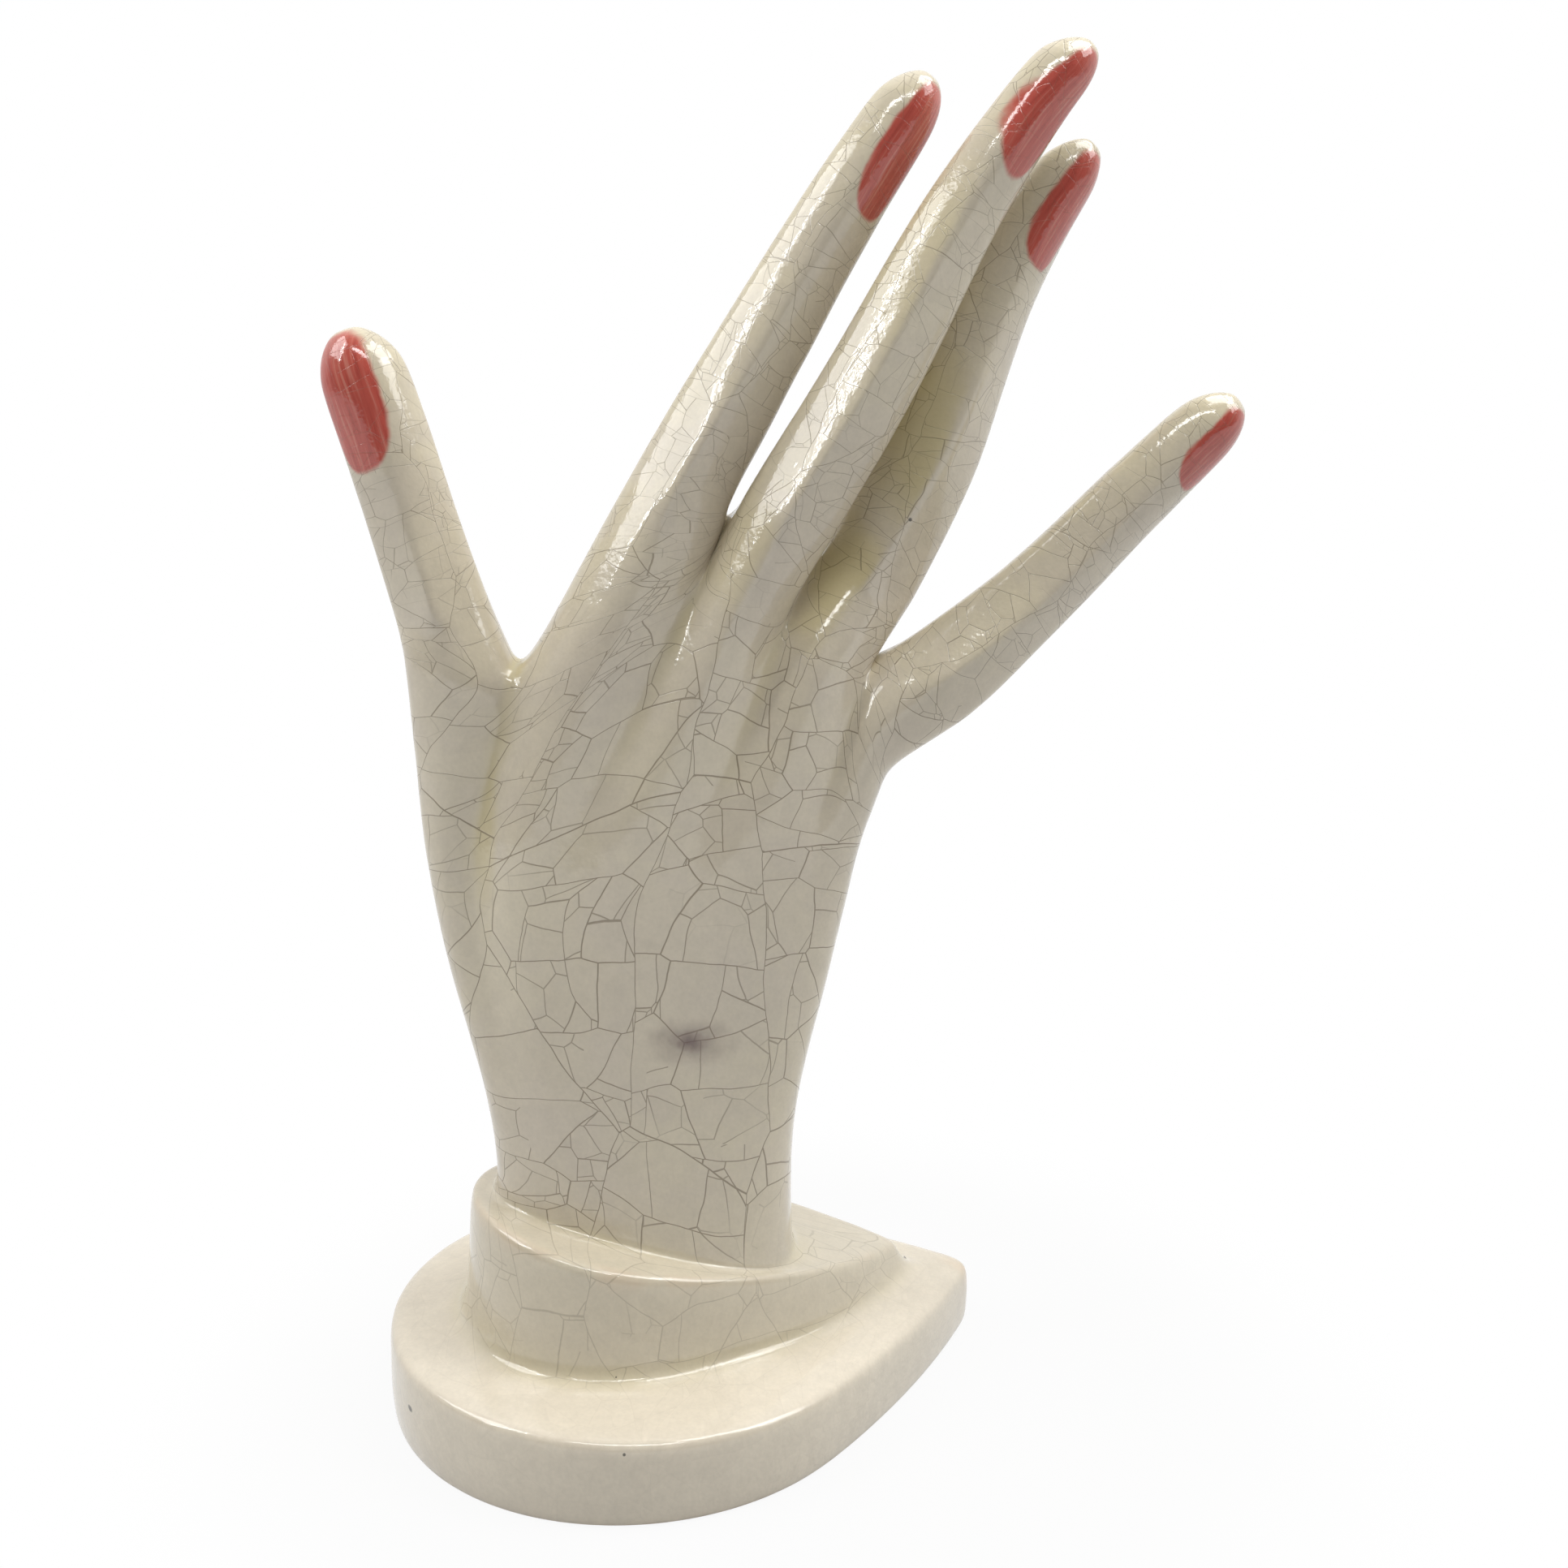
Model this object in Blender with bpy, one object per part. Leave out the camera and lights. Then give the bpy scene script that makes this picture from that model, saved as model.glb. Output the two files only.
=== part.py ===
"""Hand jewelry stand: a slip-cast lady's hand that rises from a wedge cuff on a teardrop plinth.

The whole stand is one glazed ceramic casting. Its surface is one closed cage of
four-sided faces, rounded by Catmull-Clark subdivision. Lengths here are millimetres
and become metres when the points are placed. While the cage is built, the middle of
the plinth's lobe is the origin, +Z is up and the back of the hand faces -Y.
"""

import math

import bmesh
import bpy
from mathutils import Matrix, Vector

MM = 0.001

# Plinth: a teardrop block whose point is turned a little back
PLINTH_LOBE_RADIUS = 47.8
PLINTH_POINT_REACH = 71.5
PLINTH_FLANK_RADIUS = 205.0
PLINTH_TURN = math.radians(17.5)
PLINTH_HEIGHT = 16.8
PLINTH_FALL_TO_POINT = 4.6
PLINTH_EDGE_RADIUS = 2.4

# Foot: a flat unglazed rim round a shallow recess
FOOT_EDGE_RADIUS = 0.6
FOOT_RIM_WIDTH = 8.0
RECESS_DEPTH = 2.5
RECESS_WALL_LEAN = 1.2

# Cuff: a smaller teardrop whose sloping top runs out towards the plinth's point
CUFF_LOBE_RADIUS = 28.0
CUFF_LOBE_SETBACK = 4.8
CUFF_POINT_REACH = 61.5
CUFF_FLANK_RADIUS = 88.0
CUFF_HEIGHT_AT_WRIST = 33.0
CUFF_TOP_SLOPE = 0.262
CUFF_DRAFT = 0.8
CUFF_RIM_RADIUS = 1.8
CUFF_FILLET = 1.6
CUFF_LEAST_STEP = 0.25
CUFF_SIDE_SHARES = (0.06, 0.93)

# Wrist where it leaves the cuff's top, with a shallow glaze groove round it
WRIST_CENTRE = 1.5
WRIST_WIDTH = 56.4
WRIST_THICKNESS = 34.0
WRIST_GROOVE_WIDTH = 0.7
WRIST_GROOVE_DEPTH = 0.6
WRIST_LIFT_OVER_GROOVE = 2.0

# Power of the sine that sets the depth round the wrist and hand: 1 is an oval, less is flatter
BODY_FLATNESS = 0.7

# Back of the hand, from the wrist up: height, left edge, right edge, half thickness
# and the depth of the valley beside the thumb
HAND_LEVELS = (
    (47.0, -26.5, 29.4, 16.4, 0.0),
    (62.0, -28.4, 31.3, 15.6, 0.5),
    (84.0, -34.7, 37.4, 15.0, 1.8),
    (105.0, -38.2, 41.6, 14.2, 4.0),
)
SHARES_TO_KNUCKLES = (0.42, 0.78)

# Posts between the digits, at the back of each web: across, back, up, then how far the
# palm side of the web stands to the right of that and above it
OUTER_THUMB = (-40.2, 0.5, 141.0, 0.0, 0.0)
THUMB_WEB = (-20.5, 0.5, 135.5, 0.5, 3.0)
INDEX_WEB = (12.5, -1.0, 152.0, 6.5, 16.5)
MIDDLE_WEB = (27.0, 1.0, 145.0, 7.5, 17.0)
RING_WEB = (42.5, 2.0, 137.0, 1.8, 4.5)
OUTER_PINKY = (47.2, 1.0, 121.0, 0.0, 0.0)
POSTS = (OUTER_THUMB, THUMB_WEB, INDEX_WEB, MIDDLE_WEB, RING_WEB, OUTER_PINKY)
WEB_HALF_THICKNESS = 4.5
WEB_MIDDLE_SHARE = 0.6
KNUCKLE_ROUNDNESS = 0.8

# Digits. The joints are the middle of the digit's root, middle joint, end joint and tip
# (across, back, up). The widths are at the first three and at the pad. The root depth is
# the half thickness over the knuckle. The turn is how far the crest of the digit's back
# lies to the right, and the nail is on the columns beside it.
THUMB = {
    "joints": ((-33.8, 1.0, 150.0), (-39.0, 1.0, 167.0), (-44.1, 1.0, 185.5), (-49.2, 1.0, 199.0)),
    "widths": (16.8, 15.4, 15.8, 14.8),
    "thickness": 0.92,
    "root_depth": 8.6,
    "turn": math.radians(12.0),
    "nail_columns": (0, 2),
    "nail_length": 25.0,
}
INDEX = {
    "joints": ((11.5, -1.5, 174.2), (21.8, -2.5, 191.2), (40.9, -2.0, 223.4), (53.6, -0.5, 240.2)),
    "widths": (17.2, 15.7, 12.9, 11.6),
    "thickness": 0.96,
    "root_depth": 12.0,
    "turn": math.radians(6.0),
    "nail_columns": (2, 4),
    "nail_length": 27.0,
}
MIDDLE = {
    "joints": ((30.0, -4.6, 168.0), (43.5, -6.3, 189.0), (63.7, -5.8, 227.8), (80.2, -4.0, 244.2)),
    "widths": (16.9, 15.9, 12.5, 10.2),
    "thickness": 0.96,
    "root_depth": 12.5,
    "turn": math.radians(4.0),
    "nail_columns": (2, 4),
    "nail_length": 27.0,
}
RING = {
    "joints": ((44.9, 6.4, 157.4), (56.5, 7.1, 182.6), (67.6, 5.8, 211.8), (82.7, 5.0, 230.7)),
    "widths": (18.4, 21.4, 13.8, 11.2),
    "thickness": 0.92,
    "root_depth": 11.0,
    "turn": math.radians(24.0),
    "nail_columns": (2, 4),
    "nail_length": 24.0,
}
PINKY = {
    "joints": ((57.9, 1.5, 138.3), (77.1, 1.5, 155.0), (94.7, 0.5, 174.2), (109.2, 0.5, 186.5)),
    "widths": (18.0, 14.3, 13.2, 12.2),
    "thickness": 0.94,
    "root_depth": 9.5,
    "turn": math.radians(14.0),
    "nail_columns": (2, 4),
    "nail_length": 20.0,
}
DIGITS = (THUMB, INDEX, MIDDLE, RING, PINKY)
TIP_NOSE = 10.0

# Skin of a digit, which has a crest along its back between two planes: degrees from the
# crest and reach over half the width
SECTION_BACK = ((-74, 1.02), (-37, 0.87), (0, 1.11), (37, 0.87), (74, 1.02))
SECTION_PALM = ((124, 1.04), (153, 1.02), (180, 1.00), (207, 1.02), (236, 1.04))
SECTION_SIDE_REACH = 1.02

# Shares of the way from root to nose, and then of the nose's length left before the tip
SHAFT_SHARES = (0.0, 0.34, 0.68, 1.0)
NOSE_SHARES = (0.62, 0.30, 0.09)
ROOT_SHARES = (0.38, 0.72)
FULL_TURN_SHARE = 0.35

# How crisp the crest is. Before and along the nail it fades into a round back
CREST_CREASE = 0.4
CREST_FADES_OVER = 14.0
CREST_LEFT_AT_NAIL = 0.25

COLUMNS_PER_DIGIT = len(SECTION_BACK) - 1
COLUMNS = COLUMNS_PER_DIGIT * len(DIGITS)
RING_POINTS = 2 * COLUMNS + 4
POINT_OF_TEARDROP = COLUMNS + 3

CREAM_GLAZE = {"colour": (0.72, 0.68, 0.57, 1.0), "roughness": 0.15}
CORAL_NAIL = {"colour": (0.50, 0.09, 0.07, 1.0), "roughness": 0.18}


def smooth_step(share):
    return share * share * (3 - 2 * share)


def along_plinth(x, y):
    """Distance of a spot along the plinth's axis, from the middle of its lobe."""
    return x * math.cos(PLINTH_TURN) + y * math.sin(PLINTH_TURN)


def plinth_top(along):
    """Height of the plinth's top at a distance along its axis."""
    share = (along + PLINTH_LOBE_RADIUS) / (PLINTH_POINT_REACH + PLINTH_LOBE_RADIUS)
    return PLINTH_HEIGHT - PLINTH_FALL_TO_POINT * share


def cuff_top(along):
    """Height of the cuff's sloping top at a distance along the plinth's axis."""
    return max(CUFF_HEIGHT_AT_WRIST - CUFF_TOP_SLOPE * along, plinth_top(along))


def teardrop(lobe, reach, flank, inset):
    """Evenly spaced points of a teardrop in plan, counterclockwise from its point."""
    cos_meet = (2 * flank * lobe - lobe**2 - reach**2) / (2 * reach * (flank - lobe))
    meet = math.acos(cos_meet)
    centre = Vector((math.cos(meet), math.sin(meet))) * (lobe - flank)
    start = math.atan2(-centre.y, reach - centre.x)
    flank_run = flank * (meet - start)
    half_run = flank_run + lobe * (math.pi - meet)
    half = []
    for step in range(RING_POINTS // 2 + 1):
        run = half_run * 2 * step / RING_POINTS
        if run < flank_run:
            angle = start + run / flank
            spot = centre + flank * Vector((math.cos(angle), math.sin(angle)))
        else:
            angle = meet + (run - flank_run) / lobe
            spot = lobe * Vector((math.cos(angle), math.sin(angle)))
        half.append(spot * (1 - inset / lobe))
    return half + [Vector((spot.x, -spot.y)) for spot in half[-2:0:-1]]


def turned_ring(plan, setback, height_at):
    """A teardrop's points turned to the plinth's axis, in the order of the cage's rings."""
    turn = Matrix.Rotation(PLINTH_TURN, 2)
    ring = [None] * RING_POINTS
    for step, spot in enumerate(plan):
        spot = spot - Vector((setback, 0.0))
        place = turn @ spot
        index = (POINT_OF_TEARDROP + step) % RING_POINTS
        ring[index] = Vector((place.x, place.y, height_at(spot.x)))
    return ring


def plinth_ring(inset, height_at):
    plan = teardrop(PLINTH_LOBE_RADIUS, PLINTH_POINT_REACH, PLINTH_FLANK_RADIUS, inset)
    return turned_ring(plan, 0.0, height_at)


def cuff_ring(inset, height_at):
    plan = teardrop(CUFF_LOBE_RADIUS, CUFF_POINT_REACH, CUFF_FLANK_RADIUS, inset)
    return turned_ring(plan, CUFF_LOBE_SETBACK, height_at)


def foot_rings():
    """The underside, from the recess's floor out over its wall and the flat rim."""
    rim_inner = FOOT_EDGE_RADIUS + FOOT_RIM_WIDTH
    return [
        plinth_ring(rim_inner + RECESS_WALL_LEAN, lambda along: RECESS_DEPTH),
        plinth_ring(rim_inner, lambda along: 0.0),
        plinth_ring(FOOT_EDGE_RADIUS + FOOT_RIM_WIDTH / 2, lambda along: 0.0),
        plinth_ring(FOOT_EDGE_RADIUS, lambda along: 0.0),
    ]


def plinth_rings():
    """The plinth's wall, its rounded edge and its top as far as the cuff."""
    edge = PLINTH_EDGE_RADIUS
    return [
        plinth_ring(0.0, lambda along: FOOT_EDGE_RADIUS),
        plinth_ring(0.0, lambda along: plinth_top(along) - edge),
        plinth_ring(edge / 4, lambda along: plinth_top(along) - edge / 4),
        plinth_ring(edge, plinth_top),
        cuff_ring(-2 * CUFF_FILLET, plinth_top),
    ]


def up_the_cuff(share):
    """Height on the cuff's side, as a share of the way from its foot to its rim."""

    def height_at(along):
        foot = plinth_top(along)
        step = CUFF_LEAST_STEP * (1 + share)
        return foot + max(share * (cuff_top(along) - foot), step)

    return height_at


def cuff_rings():
    """The cuff's side, from its filleted foot over its rounded rim."""
    return [
        cuff_ring(0.0, up_the_cuff(CUFF_SIDE_SHARES[0])),
        cuff_ring(CUFF_DRAFT, up_the_cuff(CUFF_SIDE_SHARES[1])),
        cuff_ring(CUFF_DRAFT + CUFF_RIM_RADIUS / 2, up_the_cuff(1.0)),
    ]


def oval_angles():
    """Angles of a ring's points: the back of the hand from left to right, then the palm."""
    step = 2 * math.pi / RING_POINTS
    return [math.pi + step * (index + 1) for index in range(RING_POINTS)]


def flat_oval(half_depth, angle):
    """Depth of an oval with a flattened face and back, at an angle."""
    sine = math.sin(angle)
    return math.copysign(half_depth * abs(sine) ** BODY_FLATNESS, sine)


def wrist_ring(lift, swell):
    """Oval ring round the wrist, parallel to the cuff's top."""
    ring = []
    for angle in oval_angles():
        x = WRIST_CENTRE + (WRIST_WIDTH / 2 + swell) * math.cos(angle)
        y = flat_oval(WRIST_THICKNESS / 2 + swell, angle)
        ring.append(Vector((x, y, cuff_top(along_plinth(x, y)) + lift)))
    return ring


def level_ring(height, left, right, half_thickness, valley):
    """Oval ring across the hand, with the valley between the thumb and the hand's back."""
    ring = []
    for index, angle in enumerate(oval_angles()):
        x = (left + right) / 2 + (right - left) / 2 * math.cos(angle)
        y = flat_oval(half_thickness, angle)
        columns_off = abs(index - COLUMNS_PER_DIGIT)
        y += valley * max(1 - columns_off / 2, 0)
        ring.append(Vector((x, y, height)))
    return ring


def fork_rings():
    """The ring that the digits stand on, and the middle line of the webs inside it."""
    back, palm, middle = [], [], []
    for column in range(COLUMNS + 1):
        number = min(column // COLUMNS_PER_DIGIT, len(DIGITS) - 1)
        share = column / COLUMNS_PER_DIGIT - number
        post = [
            left * (1 - share) + right * share
            for left, right in zip(POSTS[number], POSTS[number + 1])
        ]
        arch = math.sin(math.pi * share) ** KNUCKLE_ROUNDNESS if 0 < share < 1 else 0.0
        half = WEB_HALF_THICKNESS + (DIGITS[number]["root_depth"] - WEB_HALF_THICKNESS) * arch
        spot = Vector(post[:3])
        rise = Vector((post[3], 0.0, post[4]))
        back.append(spot - Vector((0.0, half, 0.0)))
        palm.append(spot + Vector((0.0, half, 0.0)) + rise)
        middle.append(spot + rise * WEB_MIDDLE_SHARE)
    return back + [middle[-1]] + palm[::-1] + [middle[0]], middle


def path_through(joints):
    """Smooth path through a digit's joints.

    Gives a function from a length to the spot and the direction there, and the lengths
    at the joints.
    """
    steps = 24
    spots = [Vector(joint) for joint in joints]
    spots = [2 * spots[0] - spots[1]] + spots + [2 * spots[-1] - spots[-2]]
    dense = []
    for index in range(1, len(spots) - 2):
        before, start, end, after = spots[index - 1 : index + 3]
        for step in range(steps):
            t = step / steps
            bend = (2 * before - 5 * start + 4 * end - after) * t**2
            bend += (3 * start - before - 3 * end + after) * t**3
            dense.append(start + 0.5 * ((end - before) * t + bend))
    dense.append(spots[-2])
    lengths = [0.0]
    for first, second in zip(dense, dense[1:]):
        lengths.append(lengths[-1] + (second - first).length)

    def at(length):
        index = 0
        while index < len(lengths) - 2 and lengths[index + 1] < length:
            index += 1
        share = (length - lengths[index]) / (lengths[index + 1] - lengths[index])
        step = dense[index + 1] - dense[index]
        return dense[index] + step * share, step.normalized()

    return at, lengths[::steps]


def width_at(widths, joint_lengths, length):
    """Width of a digit at a length, with the rounded nose before its tip."""
    index = 0
    while index < len(widths) - 2 and length > joint_lengths[index + 1]:
        index += 1
    start, end = joint_lengths[index], joint_lengths[index + 1]
    share = smooth_step((length - start) / (end - start))
    width = widths[index] * (1 - share) + widths[index + 1] * share
    nose = min((joint_lengths[-1] - length) / TIP_NOSE, 1.0)
    return width * math.sqrt(1 - (1 - nose) ** 2)


def crest_at(digit, length_left):
    """How much of the crest is left on a digit's back at a length before its tip."""
    share = (length_left - digit["nail_length"]) / CREST_FADES_OVER
    return CREST_LEFT_AT_NAIL + (1 - CREST_LEFT_AT_NAIL) * smooth_step(min(max(share, 0.0), 1.0))


def digit_section(spot, direction, width, thickness, turn, crest):
    """Ring of points round a digit: its back from left to right, a side, its palm, a side."""
    face = Vector((0.0, -1.0, 0.0))
    face = (face - direction * face.dot(direction)).normalized()
    side = direction.cross(face)
    turning = Matrix.Rotation(turn, 3, direction)
    back = tuple((degrees, 1 + (reach - 1) * crest) for degrees, reach in SECTION_BACK)
    skin = back + ((90, SECTION_SIDE_REACH),) + SECTION_PALM + ((270, SECTION_SIDE_REACH),)
    ring = []
    for degrees, reach in skin:
        angle = math.radians(degrees)
        offset = side * math.sin(angle) + face * math.cos(angle) * thickness
        ring.append(spot + turning @ (offset * reach * width / 2))
    return ring


def digit_rings(digit):
    """Rings of a digit from its root to just before its tip, each with its length left."""
    at, joint_lengths = path_through(digit["joints"])
    total = joint_lengths[-1]
    shaft = total - TIP_NOSE
    stations = [shaft * share for share in SHAFT_SHARES]
    stations += [total - TIP_NOSE * share for share in NOSE_SHARES]
    rings = []
    for length in stations:
        spot, direction = at(length)
        turn = digit["turn"] * min(length / (FULL_TURN_SHARE * total), 1.0)
        width = width_at(digit["widths"], joint_lengths, length)
        crest = crest_at(digit, total - length)
        ring = digit_section(spot, direction, width, digit["thickness"], turn, crest)
        rings.append((ring, total - length))
    return rings


def add_ring(cage, points):
    return [cage.verts.new(point * MM) for point in points]


def bridge(cage, lower, upper):
    """Faces between two rings."""
    after = lower[1:] + lower[:1]
    upper_after = upper[1:] + upper[:1]
    return [cage.faces.new(corners) for corners in zip(lower, after, upper_after, upper)]


def crease_crest(cage, lower, upper, crest):
    """A crisp edge along the crest of a digit's back."""
    crease = cage.edges.layers.float["crease_edge"]
    middle = COLUMNS_PER_DIGIT // 2
    cage.edges.get((lower[middle], upper[middle]))[crease] = CREST_CREASE * crest


def paint_nail(faces, columns):
    """The nail's enamel on some columns of a digit's back."""
    for face in faces[slice(*columns)]:
        face.material_index = 1


def close_tip(cage, ring, tip):
    """A grid of faces over a digit's last ring, drawn out to its tip."""
    columns = COLUMNS_PER_DIGIT
    back, right = ring[: columns + 1], ring[columns + 1]
    palm, left = ring[columns + 2 : -1][::-1], ring[-1]
    reach = tip * MM - left.co.lerp(right.co, 0.5)
    middle = [left]
    for column in range(1, columns):
        middle.append(cage.verts.new(left.co.lerp(right.co, column / columns) + reach))
    middle.append(right)
    faces = []
    for column in range(columns):
        here, after = column, column + 1
        faces.append(cage.faces.new((back[here], back[after], middle[after], middle[here])))
        cage.faces.new((middle[here], middle[after], palm[after], palm[here]))
    return faces


def add_digit(cage, base, digit):
    """A digit's skin, from its part of the fork to its closed tip."""
    rings = digit_rings(digit)
    root = rings[0][0]
    lower = base
    for share in ROOT_SHARES:
        points = [(start.co / MM).lerp(end, share) for start, end in zip(base, root)]
        upper = add_ring(cage, points)
        bridge(cage, lower, upper)
        lower = upper
    left_below = math.inf
    for points, left in rings:
        upper = add_ring(cage, points)
        faces = bridge(cage, lower, upper)
        crease_crest(cage, lower, upper, crest_at(digit, left))
        if left_below <= digit["nail_length"]:
            paint_nail(faces, digit["nail_columns"])
        lower, left_below = upper, left
    faces = close_tip(cage, lower, Vector(digit["joints"][-1]))
    paint_nail(faces, digit["nail_columns"])


def add_stack(cage, rings):
    """The body from the recess's floor to the fork, and its uppermost ring."""
    lower = add_ring(cage, rings[0])
    cage.faces.new(lower[::-1])
    for points in rings[1:]:
        upper = add_ring(cage, points)
        bridge(cage, lower, upper)
        lower = upper
    return lower


def hand_cage():
    """The whole stand as one closed cage, from the foot's recess to the five tips."""
    cage = bmesh.new()
    cage.edges.layers.float.new("crease_edge")
    fork, middle = fork_rings()
    rings = foot_rings() + plinth_rings() + cuff_rings()
    rings.append(wrist_ring(-WRIST_GROOVE_DEPTH, WRIST_GROOVE_WIDTH))
    rings.append(wrist_ring(WRIST_LIFT_OVER_GROOVE, 0.0))
    rings += [level_ring(*level) for level in HAND_LEVELS]
    top = rings[-1]
    for share in SHARES_TO_KNUCKLES:
        rings.append([low.lerp(high, share) for low, high in zip(top, fork)])
    upper = add_stack(cage, rings + [fork])
    back, right = upper[: COLUMNS + 1], upper[COLUMNS + 1]
    palm, left = upper[COLUMNS + 2 : -1][::-1], upper[-1]
    webs = [left]
    for column in range(COLUMNS_PER_DIGIT, COLUMNS, COLUMNS_PER_DIGIT):
        webs.append(cage.verts.new(middle[column] * MM))
    webs.append(right)
    for number, digit in enumerate(DIGITS):
        start = number * COLUMNS_PER_DIGIT
        end = start + COLUMNS_PER_DIGIT
        base = back[start : end + 1] + [webs[number + 1]]
        base += palm[start : end + 1][::-1] + [webs[number]]
        add_digit(cage, base, digit)
    return cage


def glossy(name, finish):
    material = bpy.data.materials.new(name)
    material.use_nodes = True
    shader = material.node_tree.nodes["Principled BSDF"]
    shader.inputs["Base Color"].default_value = finish["colour"]
    shader.inputs["Roughness"].default_value = finish["roughness"]
    shader.inputs["Metallic"].default_value = 0.0
    return material


def stand_on_origin(thing):
    """Moves the skin so that its box stands on the origin, centred."""
    evaluated = thing.evaluated_get(bpy.context.evaluated_depsgraph_get())
    spots = [vertex.co.copy() for vertex in evaluated.to_mesh().vertices]
    evaluated.to_mesh_clear()
    low = Vector(map(min, zip(*spots)))
    high = Vector(map(max, zip(*spots)))
    middle = (low + high) / 2
    thing.data.transform(Matrix.Translation((-middle.x, -middle.y, -low.z)))


def main():
    for thing in list(bpy.data.objects):
        bpy.data.objects.remove(thing)
    skin = bpy.data.meshes.new("ceramic_hand")
    cage = hand_cage()
    cage.to_mesh(skin)
    cage.free()
    skin.materials.append(glossy("cream_glaze", CREAM_GLAZE))
    skin.materials.append(glossy("coral_nail", CORAL_NAIL))
    skin.shade_smooth()
    hand = bpy.data.objects.new("ceramic_hand", skin)
    bpy.context.scene.collection.objects.link(hand)
    rounding = hand.modifiers.new("rounding", "SUBSURF")
    rounding.levels = 1
    rounding.render_levels = 1
    rounding.use_limit_surface = False
    stand_on_origin(hand)


main()
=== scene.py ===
import math

import bmesh
import bpy
import numpy as np
from mathutils import Matrix, Vector, noise


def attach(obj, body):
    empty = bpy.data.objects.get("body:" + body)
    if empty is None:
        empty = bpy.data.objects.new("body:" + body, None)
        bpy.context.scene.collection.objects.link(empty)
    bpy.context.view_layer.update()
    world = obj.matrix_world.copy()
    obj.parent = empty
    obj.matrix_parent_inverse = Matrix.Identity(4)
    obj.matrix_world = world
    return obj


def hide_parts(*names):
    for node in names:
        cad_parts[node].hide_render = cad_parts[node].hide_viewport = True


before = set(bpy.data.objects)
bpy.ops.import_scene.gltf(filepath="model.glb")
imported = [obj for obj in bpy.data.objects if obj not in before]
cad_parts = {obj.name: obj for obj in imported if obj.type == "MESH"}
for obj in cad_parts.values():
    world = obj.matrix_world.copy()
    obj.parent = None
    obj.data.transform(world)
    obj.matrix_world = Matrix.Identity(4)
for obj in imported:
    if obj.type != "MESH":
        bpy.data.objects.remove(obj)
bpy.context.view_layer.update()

# The stand is one slip-cast piece of pale clay: a lady's right hand on a wedge cuff and a
# teardrop plinth, fired, and dipped in a cream glaze that has crazed, with coral nails brushed
# on. Its skin is one cage of faces, in millimetres from the middle of the plinth's lobe.
MM = 0.001

# Columns of faces round the skin: four for each digit on the back, and as many on the palm
COLUMNS_PER_DIGIT = 4
DIGIT_COUNT = 5
COLUMNS = COLUMNS_PER_DIGIT * DIGIT_COUNT
RING_POINTS = 2 * COLUMNS + 4
POINT_OF_TEARDROP = COLUMNS + 3

# Plinth: a teardrop block whose point is turned a little back
PLINTH_LOBE_RADIUS = 47.8
PLINTH_POINT_REACH = 71.5
PLINTH_FLANK_RADIUS = 205.0
PLINTH_TURN = math.radians(17.5)
PLINTH_HEIGHT = 16.8
PLINTH_FALL_TO_POINT = 4.6
PLINTH_EDGE_RADIUS = 2.4

# Foot: a flat unglazed rim round a shallow recess
FOOT_EDGE_RADIUS = 0.6
FOOT_RIM_WIDTH = 8.0
RECESS_DEPTH = 2.5
RECESS_WALL_LEAN = 1.2


def along_plinth(x, y):
    """Distance of a spot along the plinth's axis, from the middle of its lobe."""
    return x * math.cos(PLINTH_TURN) + y * math.sin(PLINTH_TURN)


def plinth_top(along):
    """Height of the plinth's top at a distance along its axis."""
    share = (along + PLINTH_LOBE_RADIUS) / (PLINTH_POINT_REACH + PLINTH_LOBE_RADIUS)
    return PLINTH_HEIGHT - PLINTH_FALL_TO_POINT * share


def teardrop(lobe, reach, flank, inset):
    """Evenly spaced points of a teardrop in plan, counterclockwise from its point."""
    cos_meet = (2 * flank * lobe - lobe**2 - reach**2) / (2 * reach * (flank - lobe))
    meet = math.acos(cos_meet)
    centre = Vector((math.cos(meet), math.sin(meet))) * (lobe - flank)
    start = math.atan2(-centre.y, reach - centre.x)
    flank_run = flank * (meet - start)
    half_run = flank_run + lobe * (math.pi - meet)
    half = []
    for step in range(RING_POINTS // 2 + 1):
        run = half_run * 2 * step / RING_POINTS
        if run < flank_run:
            angle = start + run / flank
            spot = centre + flank * Vector((math.cos(angle), math.sin(angle)))
        else:
            angle = meet + (run - flank_run) / lobe
            spot = lobe * Vector((math.cos(angle), math.sin(angle)))
        half.append(spot * (1 - inset / lobe))
    return half + [Vector((spot.x, -spot.y)) for spot in half[-2:0:-1]]


def turned_ring(plan, setback, height_at):
    """A teardrop's points turned to the plinth's axis, in the order of the cage's rings."""
    turn = Matrix.Rotation(PLINTH_TURN, 2)
    ring = [None] * RING_POINTS
    for step, spot in enumerate(plan):
        spot = spot - Vector((setback, 0.0))
        place = turn @ spot
        index = (POINT_OF_TEARDROP + step) % RING_POINTS
        ring[index] = Vector((place.x, place.y, height_at(spot.x)))
    return ring


def plinth_ring(inset, height_at):
    plan = teardrop(PLINTH_LOBE_RADIUS, PLINTH_POINT_REACH, PLINTH_FLANK_RADIUS, inset)
    return turned_ring(plan, 0.0, height_at)


def foot_rings():
    """The underside, from the recess's floor out over its wall and the flat rim."""
    rim_inner = FOOT_EDGE_RADIUS + FOOT_RIM_WIDTH
    return [
        plinth_ring(rim_inner + RECESS_WALL_LEAN, lambda along: RECESS_DEPTH),
        plinth_ring(rim_inner, lambda along: 0.0),
        plinth_ring(FOOT_EDGE_RADIUS + FOOT_RIM_WIDTH / 2, lambda along: 0.0),
        plinth_ring(FOOT_EDGE_RADIUS, lambda along: 0.0),
    ]


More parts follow.
